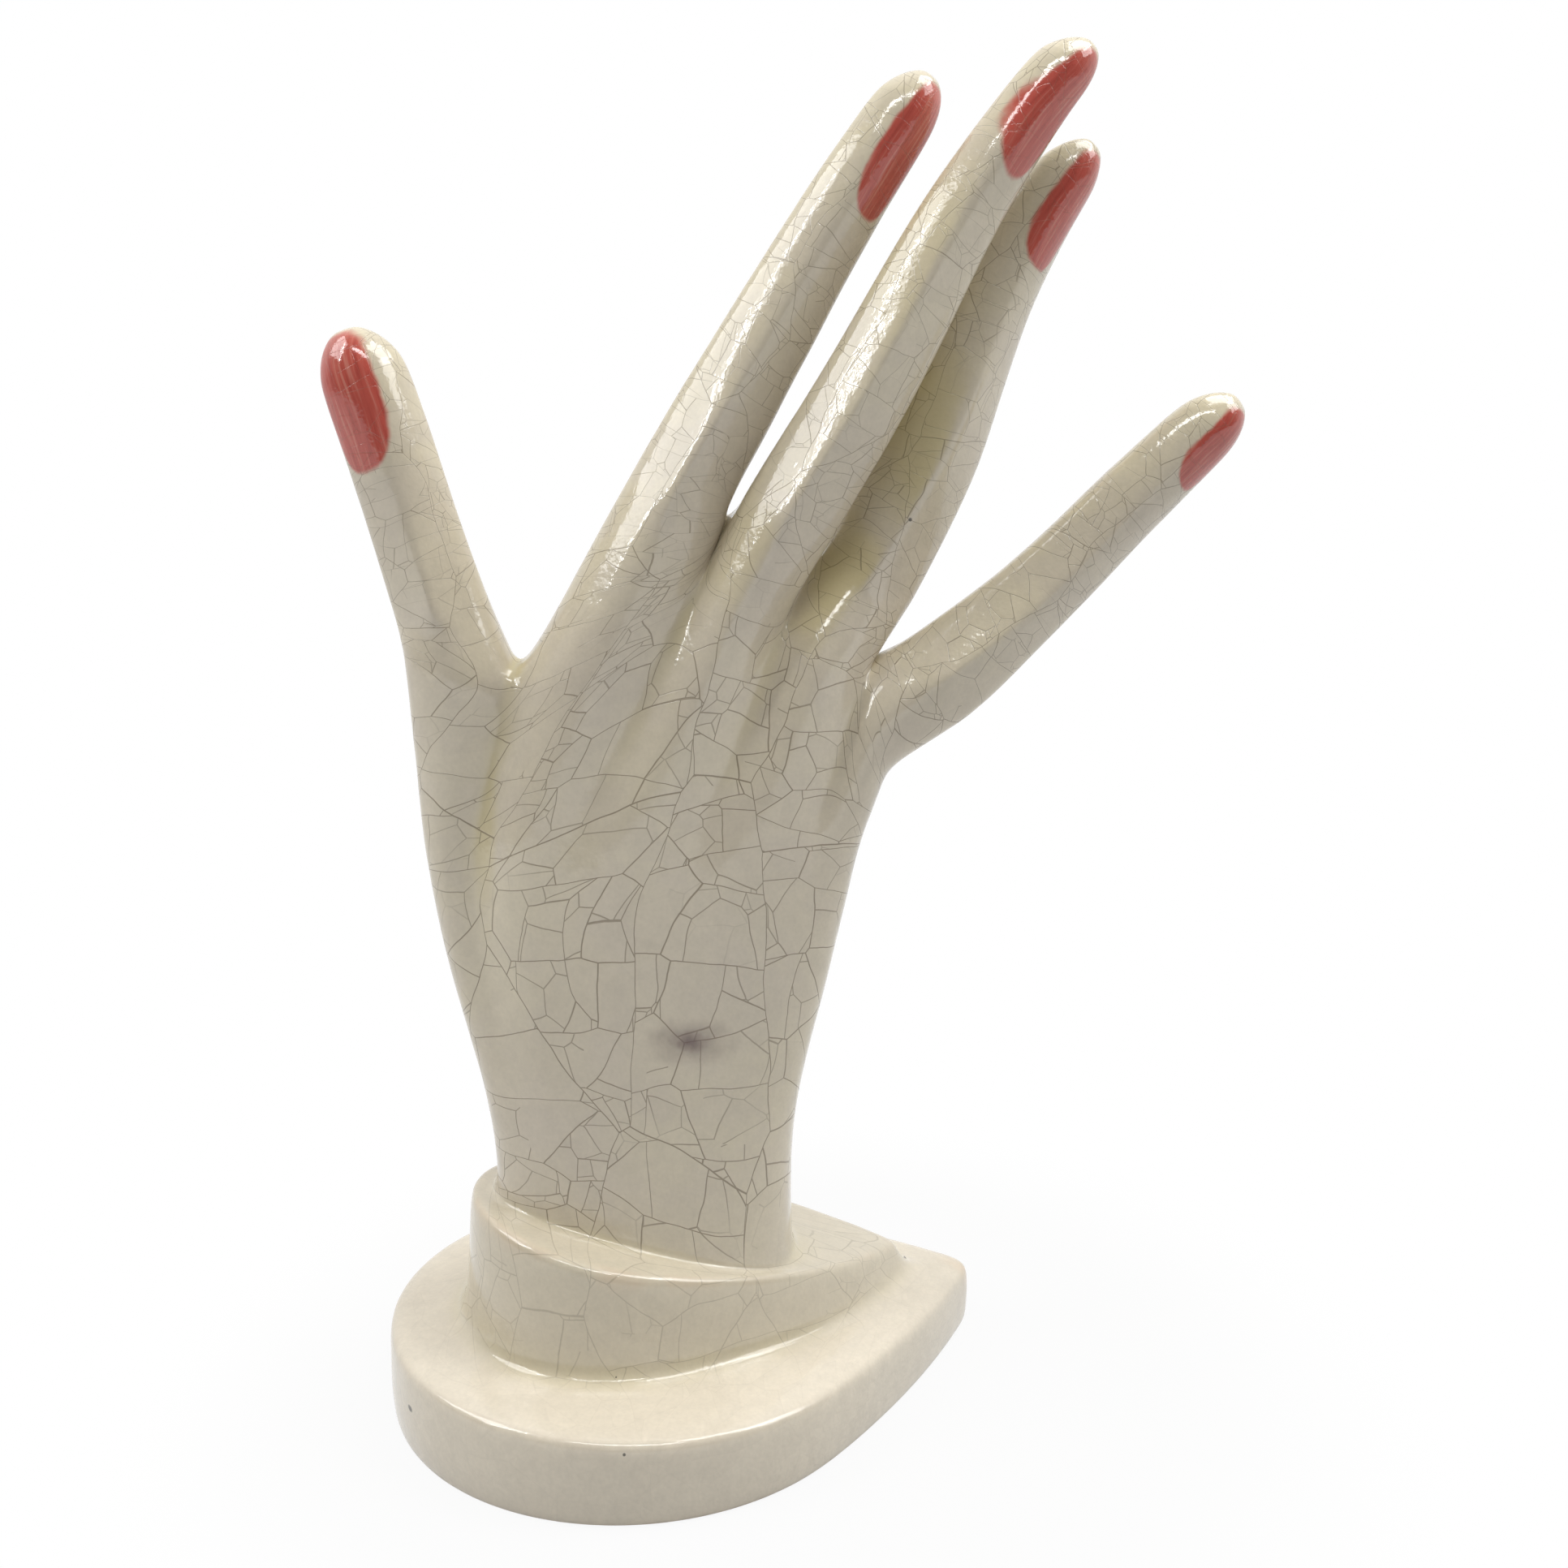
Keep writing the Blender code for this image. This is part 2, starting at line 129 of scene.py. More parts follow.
# Cuff: a smaller teardrop whose sloping top runs out towards the plinth's point
CUFF_LOBE_RADIUS = 28.0
CUFF_LOBE_SETBACK = 4.8
CUFF_POINT_REACH = 61.5
CUFF_FLANK_RADIUS = 88.0
CUFF_HEIGHT_AT_WRIST = 33.0
CUFF_TOP_SLOPE = 0.262
CUFF_DRAFT = 0.8
CUFF_RIM_RADIUS = 1.8
CUFF_FILLET = 1.6
CUFF_LEAST_STEP = 0.25
CUFF_SIDE_SHARES = (0.06, 0.93)


def cuff_top(along):
    """Height of the cuff's sloping top at a distance along the plinth's axis."""
    return max(CUFF_HEIGHT_AT_WRIST - CUFF_TOP_SLOPE * along, plinth_top(along))


def cuff_ring(inset, height_at):
    plan = teardrop(CUFF_LOBE_RADIUS, CUFF_POINT_REACH, CUFF_FLANK_RADIUS, inset)
    return turned_ring(plan, CUFF_LOBE_SETBACK, height_at)


def plinth_rings():
    """The plinth's wall, its rounded edge and its top as far as the cuff."""
    edge = PLINTH_EDGE_RADIUS
    return [
        plinth_ring(0.0, lambda along: FOOT_EDGE_RADIUS),
        plinth_ring(0.0, lambda along: plinth_top(along) - edge),
        plinth_ring(edge / 4, lambda along: plinth_top(along) - edge / 4),
        plinth_ring(edge, plinth_top),
        cuff_ring(-2 * CUFF_FILLET, plinth_top),
    ]


def up_the_cuff(share):
    """Height on the cuff's side, as a share of the way from its foot to its rim."""

    def height_at(along):
        foot = plinth_top(along)
        step = CUFF_LEAST_STEP * (1 + share)
        return foot + max(share * (cuff_top(along) - foot), step)

    return height_at


def cuff_rings():
    """The cuff's side, from its filleted foot over its rounded rim."""
    return [
        cuff_ring(0.0, up_the_cuff(CUFF_SIDE_SHARES[0])),
        cuff_ring(CUFF_DRAFT, up_the_cuff(CUFF_SIDE_SHARES[1])),
        cuff_ring(CUFF_DRAFT + CUFF_RIM_RADIUS / 2, up_the_cuff(1.0)),
    ]


# Wrist where it leaves the cuff's top, with a shallow glaze groove round it
WRIST_CENTRE = 1.5
WRIST_WIDTH = 56.4
WRIST_THICKNESS = 34.0
WRIST_GROOVE_WIDTH = 0.7
WRIST_GROOVE_DEPTH = 0.6
WRIST_LIFT_OVER_GROOVE = 2.0

# Power of the sine that sets the depth round the wrist and hand: 1 is an oval, less is flatter
BODY_FLATNESS = 0.7

# Back of the hand, from the wrist up: height, left edge, right edge, half thickness
# and the depth of the valley beside the thumb
HAND_LEVELS = (
    (47.0, -26.5, 29.4, 16.4, 0.0),
    (62.0, -28.4, 31.3, 15.6, 0.5),
    (84.0, -34.7, 37.4, 15.0, 1.8),
    (105.0, -38.2, 41.6, 14.2, 4.0),
)
SHARES_TO_KNUCKLES = (0.42, 0.78)


def oval_angles():
    """Angles of a ring's points: the back of the hand from left to right, then the palm."""
    step = 2 * math.pi / RING_POINTS
    return [math.pi + step * (index + 1) for index in range(RING_POINTS)]


def flat_oval(half_depth, angle):
    """Depth of an oval with a flattened face and back, at an angle."""
    sine = math.sin(angle)
    return math.copysign(half_depth * abs(sine) ** BODY_FLATNESS, sine)


def wrist_ring(lift, swell):
    """Oval ring round the wrist, parallel to the cuff's top."""
    ring = []
    for angle in oval_angles():
        x = WRIST_CENTRE + (WRIST_WIDTH / 2 + swell) * math.cos(angle)
        y = flat_oval(WRIST_THICKNESS / 2 + swell, angle)
        ring.append(Vector((x, y, cuff_top(along_plinth(x, y)) + lift)))
    return ring


def level_ring(height, left, right, half_thickness, valley):
    """Oval ring across the hand, with the valley between the thumb and the hand's back."""
    ring = []
    for index, angle in enumerate(oval_angles()):
        x = (left + right) / 2 + (right - left) / 2 * math.cos(angle)
        y = flat_oval(half_thickness, angle)
        columns_off = abs(index - COLUMNS_PER_DIGIT)
        y += valley * max(1 - columns_off / 2, 0)
        ring.append(Vector((x, y, height)))
    return ring


# Posts between the digits, at the back of each web: across, back, up, then how far the
# palm side of the web stands to the right of that and above it
OUTER_THUMB = (-40.2, 0.5, 141.0, 0.0, 0.0)
THUMB_WEB = (-20.5, 0.5, 135.5, 0.5, 3.0)
INDEX_WEB = (12.5, -1.0, 152.0, 6.5, 16.5)
MIDDLE_WEB = (27.0, 1.0, 145.0, 7.5, 17.0)
RING_WEB = (42.5, 2.0, 137.0, 1.8, 4.5)
OUTER_PINKY = (47.2, 1.0, 121.0, 0.0, 0.0)
POSTS = (OUTER_THUMB, THUMB_WEB, INDEX_WEB, MIDDLE_WEB, RING_WEB, OUTER_PINKY)
WEB_HALF_THICKNESS = 4.5
WEB_MIDDLE_SHARE = 0.6
KNUCKLE_ROUNDNESS = 0.8

# Digits. The joints are the middle of the digit's root, middle joint, end joint and tip
# (across, back, up). The widths are at the first three and at the pad. The root depth is
# the half thickness over the knuckle. The turn is how far the crest of the digit's back
# lies to the right. The nail's bed is as long as given, and the crest fades before it.
THUMB = {
    "joints": ((-33.8, 1.0, 150.0), (-39.0, 1.0, 167.0), (-44.1, 1.0, 185.5), (-49.2, 1.0, 199.0)),
    "widths": (16.8, 15.4, 15.8, 14.8),
    "thickness": 0.92,
    "root_depth": 8.6,
    "turn": math.radians(12.0),
    "nail_length": 25.0,
}
INDEX = {
    "joints": ((11.5, -1.5, 174.2), (21.8, -2.5, 191.2), (40.9, -2.0, 223.4), (53.6, -0.5, 240.2)),
    "widths": (17.2, 15.7, 12.9, 11.6),
    "thickness": 0.96,
    "root_depth": 12.0,
    "turn": math.radians(6.0),
    "nail_length": 27.0,
}
MIDDLE = {
    "joints": ((30.0, -4.6, 168.0), (43.5, -6.3, 189.0), (63.7, -5.8, 227.8), (80.2, -4.0, 244.2)),
    "widths": (16.9, 15.9, 12.5, 10.2),
    "thickness": 0.96,
    "root_depth": 12.5,
    "turn": math.radians(4.0),
    "nail_length": 27.0,
}
RING = {
    "joints": ((44.9, 6.4, 157.4), (56.5, 7.1, 182.6), (67.6, 5.8, 211.8), (82.7, 5.0, 230.7)),
    "widths": (18.4, 21.4, 13.8, 11.2),
    "thickness": 0.92,
    "root_depth": 11.0,
    "turn": math.radians(24.0),
    "nail_length": 24.0,
}
PINKY = {
    "joints": ((57.9, 1.5, 138.3), (77.1, 1.5, 155.0), (94.7, 0.5, 174.2), (109.2, 0.5, 186.5)),
    "widths": (18.0, 14.3, 13.2, 12.2),
    "thickness": 0.94,
    "root_depth": 9.5,
    "turn": math.radians(14.0),
    "nail_length": 20.0,
}
DIGITS = (THUMB, INDEX, MIDDLE, RING, PINKY)
TIP_NOSE = 10.0

# Skin of a digit, which has a crest along its back between two planes: degrees from the
# crest and reach over half the width
SECTION_BACK = ((-74, 1.02), (-37, 0.87), (0, 1.11), (37, 0.87), (74, 1.02))
SECTION_PALM = ((124, 1.04), (153, 1.02), (180, 1.00), (207, 1.02), (236, 1.04))
SECTION_SIDE_REACH = 1.02

# Shares of the way from root to nose, and then of the nose's length left before the tip
SHAFT_SHARES = (0.0, 0.34, 0.68, 1.0)
NOSE_SHARES = (0.62, 0.30, 0.09)
ROOT_SHARES = (0.38, 0.72)
FULL_TURN_SHARE = 0.35

# How crisp the crest is. Before and along the nail it fades into a round back
CREST_CREASE = 0.4
CREST_FADES_OVER = 14.0
CREST_LEFT_AT_NAIL = 0.25


def smooth_step(share):
    return share * share * (3 - 2 * share)


def fork_rings():
    """The ring that the digits stand on, and the middle line of the webs inside it."""
    back, palm, middle = [], [], []
    for column in range(COLUMNS + 1):
        number = min(column // COLUMNS_PER_DIGIT, len(DIGITS) - 1)
        share = column / COLUMNS_PER_DIGIT - number
        post = [
            left * (1 - share) + right * share
            for left, right in zip(POSTS[number], POSTS[number + 1])
        ]
        arch = math.sin(math.pi * share) ** KNUCKLE_ROUNDNESS if 0 < share < 1 else 0.0
        half = WEB_HALF_THICKNESS + (DIGITS[number]["root_depth"] - WEB_HALF_THICKNESS) * arch
        spot = Vector(post[:3])
        rise = Vector((post[3], 0.0, post[4]))
        back.append(spot - Vector((0.0, half, 0.0)))
        palm.append(spot + Vector((0.0, half, 0.0)) + rise)
        middle.append(spot + rise * WEB_MIDDLE_SHARE)
    return back + [middle[-1]] + palm[::-1] + [middle[0]], middle


def path_through(joints):
    """Smooth path through a digit's joints.

    Gives a function from a length to the spot and the direction there, and the lengths
    at the joints.
    """
    steps = 24
    spots = [Vector(joint) for joint in joints]
    spots = [2 * spots[0] - spots[1]] + spots + [2 * spots[-1] - spots[-2]]
    dense = []
    for index in range(1, len(spots) - 2):
        before, start, end, after = spots[index - 1 : index + 3]
        for step in range(steps):
            t = step / steps
            bend = (2 * before - 5 * start + 4 * end - after) * t**2
            bend += (3 * start - before - 3 * end + after) * t**3
            dense.append(start + 0.5 * ((end - before) * t + bend))
    dense.append(spots[-2])
    lengths = [0.0]
    for first, second in zip(dense, dense[1:]):
        lengths.append(lengths[-1] + (second - first).length)

    def at(length):
        index = 0
        while index < len(lengths) - 2 and lengths[index + 1] < length:
            index += 1
        share = (length - lengths[index]) / (lengths[index + 1] - lengths[index])
        step = dense[index + 1] - dense[index]
        return dense[index] + step * share, step.normalized()

    return at, lengths[::steps]


def width_at(widths, joint_lengths, length):
    """Width of a digit at a length, with the rounded nose before its tip."""
    index = 0
    while index < len(widths) - 2 and length > joint_lengths[index + 1]:
        index += 1
    start, end = joint_lengths[index], joint_lengths[index + 1]
    share = smooth_step((length - start) / (end - start))
    width = widths[index] * (1 - share) + widths[index + 1] * share
    nose = min((joint_lengths[-1] - length) / TIP_NOSE, 1.0)
    return width * math.sqrt(1 - (1 - nose) ** 2)


def crest_at(digit, length_left):
    """How much of the crest is left on a digit's back at a length before its tip."""
    share = (length_left - digit["nail_length"]) / CREST_FADES_OVER
    return CREST_LEFT_AT_NAIL + (1 - CREST_LEFT_AT_NAIL) * smooth_step(min(max(share, 0.0), 1.0))


def digit_section(spot, direction, width, thickness, turn, crest):
    """Ring of points round a digit: its back from left to right, a side, its palm, a side."""
    face = Vector((0.0, -1.0, 0.0))
    face = (face - direction * face.dot(direction)).normalized()
    side = direction.cross(face)
    turning = Matrix.Rotation(turn, 3, direction)
    back = tuple((degrees, 1 + (reach - 1) * crest) for degrees, reach in SECTION_BACK)
    skin = back + ((90, SECTION_SIDE_REACH),) + SECTION_PALM + ((270, SECTION_SIDE_REACH),)
    ring = []
    for degrees, reach in skin:
        angle = math.radians(degrees)
        offset = side * math.sin(angle) + face * math.cos(angle) * thickness
        ring.append(spot + turning @ (offset * reach * width / 2))
    return ring


def digit_rings(digit):
    """Rings of a digit from its root to just before its tip, each with its length left."""
    at, joint_lengths = path_through(digit["joints"])
    total = joint_lengths[-1]
    shaft = total - TIP_NOSE
    stations = [shaft * share for share in SHAFT_SHARES]
    stations += [total - TIP_NOSE * share for share in NOSE_SHARES]
    rings = []
    for length in stations:
        spot, direction = at(length)
        turn = digit["turn"] * min(length / (FULL_TURN_SHARE * total), 1.0)
        width = width_at(digit["widths"], joint_lengths, length)
        crest = crest_at(digit, total - length)
        ring = digit_section(spot, direction, width, digit["thickness"], turn, crest)
        rings.append((ring, total - length))
    return rings


# Crazing closes up along the fingers, so the skin laid flat is drawn out there: across, along
FINGER_CRAZE = (1.5, 1.9)


def add_ring(cage, points):
    return [cage.verts.new(point * MM) for point in points]


def back_middle(ring):
    """The number of a ring's point in the middle of its back."""
    return (len(ring) - 4) // 4


def palm_middle(ring):
    return back_middle(ring) + len(ring) // 2


def laid_flat(ring, across, along, stretch=1.0):
    """Where a ring lies when the skin is slit down the palm and laid flat, from slit to slit."""
    corners = [ring[(palm_middle(ring) + step) % len(ring)] for step in range(len(ring) + 1)]
    runs = [0.0]
    for one, other in zip(corners, corners[1:]):
        runs.append(runs[-1] + (other.co - one.co).length * stretch)
    return [(across + run - runs[len(ring) // 2], along) for run in runs]


def bridge(cage, lower, upper, lower_flat, upper_flat):
    """Faces between two rings, each with its place on the skin laid flat."""
    flat = cage.loops.layers.uv["flat"]
    for index in range(len(lower)):
        after = (index + 1) % len(lower)
        face = cage.faces.new((lower[index], lower[after], upper[after], upper[index]))
        step = (index - palm_middle(lower)) % len(lower)
        places = (lower_flat[step], lower_flat[step + 1], upper_flat[step + 1], upper_flat[step])
        for loop, spot in zip(face.loops, places):
            loop[flat].uv = spot


def crease_crest(cage, lower, upper, crest):
    """A crisp edge along the crest of a digit's back."""
    crease = cage.edges.layers.float["crease_edge"]
    middle = back_middle(lower)
    cage.edges.get((lower[middle], upper[middle]))[crease] = CREST_CREASE * crest


def close_tip(cage, ring, tip, across, along):
    """A grid of faces over a digit's last ring, drawn out to its tip."""
    flat = cage.loops.layers.uv["flat"]
    columns = COLUMNS_PER_DIGIT
    back, right = ring[: columns + 1], ring[columns + 1]
    palm, left = ring[columns + 2 : -1][::-1], ring[-1]
    heart = left.co.lerp(right.co, 0.5)
    side = (right.co - left.co).normalized()
    reach = tip * MM - heart
    middle = [left]
    for column in range(1, columns):
        middle.append(cage.verts.new(left.co.lerp(right.co, column / columns) + reach))
    middle.append(right)
    for column in range(columns):
        here, after = column, column + 1
        for corners in (
            (back[here], back[after], middle[after], middle[here]),
            (middle[here], middle[after], palm[after], palm[here]),
        ):
            for loop in cage.faces.new(corners).loops:
                away = loop.vert.co - heart
                way = away.dot(reach.normalized())
                loop[flat].uv = (across + away.dot(side), along + way * FINGER_CRAZE[1])


def add_digit(cage, base, digit, across, along):
    """A digit's skin, from its part of the fork to its closed tip."""
    middle = back_middle(base)
    rings = digit_rings(digit)
    root = rings[0][0]
    steps = []
    for share in ROOT_SHARES:
        steps.append(([(start.co / MM).lerp(end, share) for start, end in zip(base, root)], 0.0))
    steps += [(points, crest_at(digit, left)) for points, left in rings]
    lower, lower_flat = base, laid_flat(base, across, along)
    for number, (points, crest) in enumerate(steps):
        upper = add_ring(cage, points)
        along += (upper[middle].co - lower[middle].co).length * FINGER_CRAZE[1]
        stretch = 1 + (FINGER_CRAZE[0] - 1) * min(number / len(ROOT_SHARES), 1.0)
        upper_flat = laid_flat(upper, across, along, stretch)
        bridge(cage, lower, upper, lower_flat, upper_flat)
        crease_crest(cage, lower, upper, crest)
        lower, lower_flat = upper, upper_flat
    close_tip(cage, lower, Vector(digit["joints"][-1]), across, along)


def add_stack(cage, rings):
    """The body from the recess's floor to the fork: its uppermost ring, and that laid flat."""
    lower = add_ring(cage, rings[0])
    cage.faces.new(lower[::-1])
    middle, along = back_middle(lower), 0.0
    lower_flat = laid_flat(lower, 0.0, along)
    for points in rings[1:]:
        upper = add_ring(cage, points)
        along += (upper[middle].co - lower[middle].co).length
        upper_flat = laid_flat(upper, 0.0, along)
        bridge(cage, lower, upper, lower_flat, upper_flat)
        lower, lower_flat = upper, upper_flat
    return lower, lower_flat


def hand_cage():
    """The whole stand as one closed cage, from the foot's recess to the five tips."""
    cage = bmesh.new()
    cage.edges.layers.float.new("crease_edge")
    cage.loops.layers.uv.new("flat")
    fork, middle = fork_rings()
    rings = foot_rings() + plinth_rings() + cuff_rings()
    rings.append(wrist_ring(-WRIST_GROOVE_DEPTH, WRIST_GROOVE_WIDTH))
    rings.append(wrist_ring(WRIST_LIFT_OVER_GROOVE, 0.0))
    rings += [level_ring(*level) for level in HAND_LEVELS]
    top = rings[-1]
    for share in SHARES_TO_KNUCKLES:
        rings.append([low.lerp(high, share) for low, high in zip(top, fork)])
    upper, upper_flat = add_stack(cage, rings + [fork])
    back, right = upper[: COLUMNS + 1], upper[COLUMNS + 1]
    palm, left = upper[COLUMNS + 2 : -1][::-1], upper[-1]
    webs = [left]
    for column in range(COLUMNS_PER_DIGIT, COLUMNS, COLUMNS_PER_DIGIT):
        webs.append(cage.verts.new(middle[column] * MM))
    webs.append(right)
    for number, digit in enumerate(DIGITS):
        start = number * COLUMNS_PER_DIGIT
        end = start + COLUMNS_PER_DIGIT
        base = back[start : end + 1] + [webs[number + 1]]
        base += palm[start : end + 1][::-1] + [webs[number]]
        step = (start + end) // 2 + len(upper) - palm_middle(upper)
        add_digit(cage, base, digit, *upper_flat[step])
    return cage


# The skin is the cage rounded finely by Catmull-Clark subdivision. It stands in its solid's
# place: the middle of the once rounded cage's box is over the origin, and its foot is at 0.
SKIN_LEVELS = 3


def new_object(name, data):
    made = bpy.data.objects.new(name, data)
    bpy.context.scene.collection.objects.link(made)
    return made


def rounded(thing, levels):
    """The thing's mesh at that many levels of rounding."""
    rounding = thing.modifiers["rounding"]
    rounding.levels = levels
    rounding.render_levels = levels
    evaluated = thing.evaluated_get(bpy.context.evaluated_depsgraph_get())
    return bpy.data.meshes.new_from_object(evaluated)


def places_of(mesh):
    """The mesh's points, in metres."""
    spots = np.empty(len(mesh.vertices) * 3, np.float32)
    mesh.vertices.foreach_get("co", spots)
    return spots.reshape(-1, 3).astype(float)


cage_mesh = bpy.data.meshes.new("hand_cage")
cage_of_hand = hand_cage()
cage_of_hand.to_mesh(cage_mesh)
cage_of_hand.free()
hand_in_the_rough = new_object("hand_in_the_rough", cage_mesh)
corner_rounding = hand_in_the_rough.modifiers.new("rounding", "SUBSURF")
corner_rounding.use_limit_surface = False
coarse = places_of(rounded(hand_in_the_rough, 1))
lobe_to_row = -(coarse.min(0) + coarse.max(0)) / 2
lobe_to_row[2] = -coarse[:, 2].min()
cage_mesh.transform(Matrix.Translation(lobe_to_row))
skin = rounded(hand_in_the_rough, SKIN_LEVELS)
bpy.data.objects.remove(hand_in_the_rough)
skin.shade_smooth()
glazed_hand = new_object("glazed_hand", skin)

# The mould was worked by hand, so the skin swells and sinks a little here and there, but not
# where the stand rests: lengths over which it does, and how far. The glaze adds its thickness.
SWELLS = ((13.0, 0.12), (5.0, 0.04))
SWELLS_FROM_HEIGHT = (1.0, 6.0)
GLAZE_THICKNESS = 0.17


def swollen(mesh, low, high):
    """The mesh's points, each moved out or in by its swells, inside a box."""
    spots = places_of(mesh)
    outwards = np.array([corner.vector for corner in mesh.vertex_normals], float)
    rises = np.full(len(spots), GLAZE_THICKNESS * MM)
    for length, highest in SWELLS:
        waves = [noise.noise(Vector(spot) / (length * MM)) for spot in spots]
        rises += highest * MM * np.clip(waves, -1.0, 1.0)
    start, end = SWELLS_FROM_HEIGHT
    share = np.clip((spots[:, 2] / MM - start) / (end - start), 0.0, 1.0)
    return np.clip(spots + outwards * (rises * share)[:, None], low, high)


skin_places = swollen(skin, coarse.min(0) + lobe_to_row, coarse.max(0) + lobe_to_row)
skin.vertices.foreach_set("co", skin_places.astype(np.float32).ravel())
skin.update()
skin_mm = (skin_places - lobe_to_row) / MM

# Nails: long ovals of coral enamel, each turned to one side of its digit's back. Every point
# of the skin near one is given its place on it, across and along, in half widths and half
# lengths from its middle, and how far it faces the nail's side.

# For each digit: the enamel's half width, its length, its start behind the tip and its turn
NAILS = (
    (5.8, 25.0, 0.6, math.radians(-30.0)),
    (4.3, 26.0, 1.2, math.radians(49.0)),
    (4.3, 26.5, 1.2, math.radians(49.0)),
    (4.4, 23.0, 1.2, math.radians(50.0)),
    (4.3, 17.0, 1.2, math.radians(48.0)),
)
NAIL_STATION = 0.5
NAIL_SEARCH_PAST_END = 16.0
NAIL_STATIONS_PAST_END = 12.0
OFF_THE_NAILS = (9.0, 9.0, -9.0)


def nail_frames(digit, first, turn):
    """Places along a digit's end, every one with the way there and the nail's side and face."""
    at, joint_lengths = path_through(digit["joints"])
    total = joint_lengths[-1]
    lengths = np.append(np.arange(total - first, total, NAIL_STATION), total)
    frames = []
    for length in lengths:
        spot, direction = at(float(length))
        face = Vector((0.0, -1.0, 0.0))
        face = (face - direction * face.dot(direction)).normalized()
        turning = Matrix.Rotation(turn, 3, direction)
        frames.append((spot, direction, turning @ direction.cross(face), turning @ face))
    return np.array(frames), total - lengths


def nail_places(spots):
    """Where each spot lies on the nail of its digit."""
    found = np.tile(OFF_THE_NAILS, (len(spots), 1))
    nearest_yet = np.full(len(spots), np.inf)
    for digit, (half_width, length, start, turn) in zip(DIGITS, NAILS):
        tip = np.array(digit["joints"][-1])
        near = np.flatnonzero(((spots - tip) ** 2).sum(1) < (length + NAIL_SEARCH_PAST_END) ** 2)
        frames, left_at = nail_frames(digit, length + NAIL_STATIONS_PAST_END, turn)
        away = spots[near][:, None] - frames[None, :, 0]
        apart = np.sqrt((away**2).sum(2))
        nearest = apart.argmin(1)
        rows = np.arange(len(near))
        away, apart = away[rows, nearest], apart[rows, nearest]
        _, ways, sides, faces = frames[nearest].transpose(1, 0, 2)
        left = left_at[nearest] - (away * ways).sum(1)
        across = (away * sides).sum(1) / half_width
        along = (left - start - length / 2) / (length / 2)
        facing = (away * faces).sum(1) / half_width
        on = (apart < digit["widths"][2]) & (apart < nearest_yet[near])
        found[near[on]] = np.stack([across, along, facing], 1)[on]
        nearest_yet[near] = np.minimum(nearest_yet[near], apart)
    return found


# Glaze pools in creases. How many rounds of evening out show a crease, and soften it
HOLLOW_ROUNDS = 12
HOLLOW_SOFTENING = 3


def hollows(mesh, spots):
    """How far each point lies in a crease, in millimetres below the evened skin."""
    ends = np.empty(len(mesh.edges) * 2, np.int64)
    mesh.edges.foreach_get("vertices", ends)
    one, other = ends.reshape(-1, 2).T
    counts = np.bincount(one, minlength=len(spots)) + np.bincount(other, minlength=len(spots))
    normals = np.array([corner.vector for corner in mesh.vertex_normals], float)

    def mean_beside(values):
        total = np.zeros_like(values)
        np.add.at(total, one, values[other])
        np.add.at(total, other, values[one])
        return total / counts.reshape(-1, *[1] * (values.ndim - 1))

    evened = spots
    for _ in range(HOLLOW_ROUNDS):
        evened = mean_beside(evened)
    depth = ((evened - spots) * normals).sum(1)
    for _ in range(HOLLOW_SOFTENING):
        depth = mean_beside(depth)
    return depth


def give(mesh, name, kind, values):
    """Puts values on the mesh's points, for its material to read."""
    layer = mesh.attributes.new(name, kind, "POINT")
    field = "vector" if kind == "FLOAT_VECTOR" else "value"
    layer.data.foreach_set(field, np.asarray(values, np.float32).ravel())


# Heights over which the glaze changes from the plinth to the cuff and from the cuff to the
# hand, and heights where the hand's glaze starts to change and is that of the fingers
GLAZE_CHANGES_OVER = 2.0
FINGERS_FROM, FINGERS_FULL = 118.0, 168.0

along_axis = along_plinth(skin_mm[:, 0], skin_mm[:, 1])
up_the_hand = (skin_mm[:, 2] - FINGERS_FROM) / (FINGERS_FULL - FINGERS_FROM)
over_plinth = skin_mm[:, 2] - np.array([plinth_top(along) for along in along_axis])
over_cuff = skin_mm[:, 2] - np.array([cuff_top(along) for along in along_axis])
give(skin, "nail", "FLOAT_VECTOR", nail_places(skin_mm))
give(skin, "hollow", "FLOAT", hollows(skin, skin_mm))
give(skin, "hand", "FLOAT", np.clip(over_cuff / GLAZE_CHANGES_OVER, 0.0, 1.0))
give(skin, "cuff", "FLOAT", np.clip(over_plinth / GLAZE_CHANGES_OVER, 0.0, 1.0))
give(skin, "fingers", "FLOAT", np.clip(up_the_hand, 0.0, 1.0))


class Wire:
    """A socket of a material's nodes. Python's operators on it add Math nodes."""

    def __init__(self, recipe, socket):
        self.recipe = recipe
        self.socket = socket

    def maths(self, operation, first, second):
        return self.recipe.node("ShaderNodeMath", {"operation": operation}, {0: first, 1: second})

    def __add__(self, other):
        return self.maths("ADD", self, other)

    def __sub__(self, other):
        return self.maths("SUBTRACT", self, other)

    def __rsub__(self, other):
        return self.maths("SUBTRACT", other, self)

    def __mul__(self, other):
        return self.maths("MULTIPLY", self, other)

    def __pow__(self, other):
        return self.maths("POWER", self, other)

    def __abs__(self):
        return self.maths("ABSOLUTE", self, 0.0)

    def or_more(self, other):
        return self.maths("MAXIMUM", self, other)

    __radd__ = __add__
    __rmul__ = __mul__


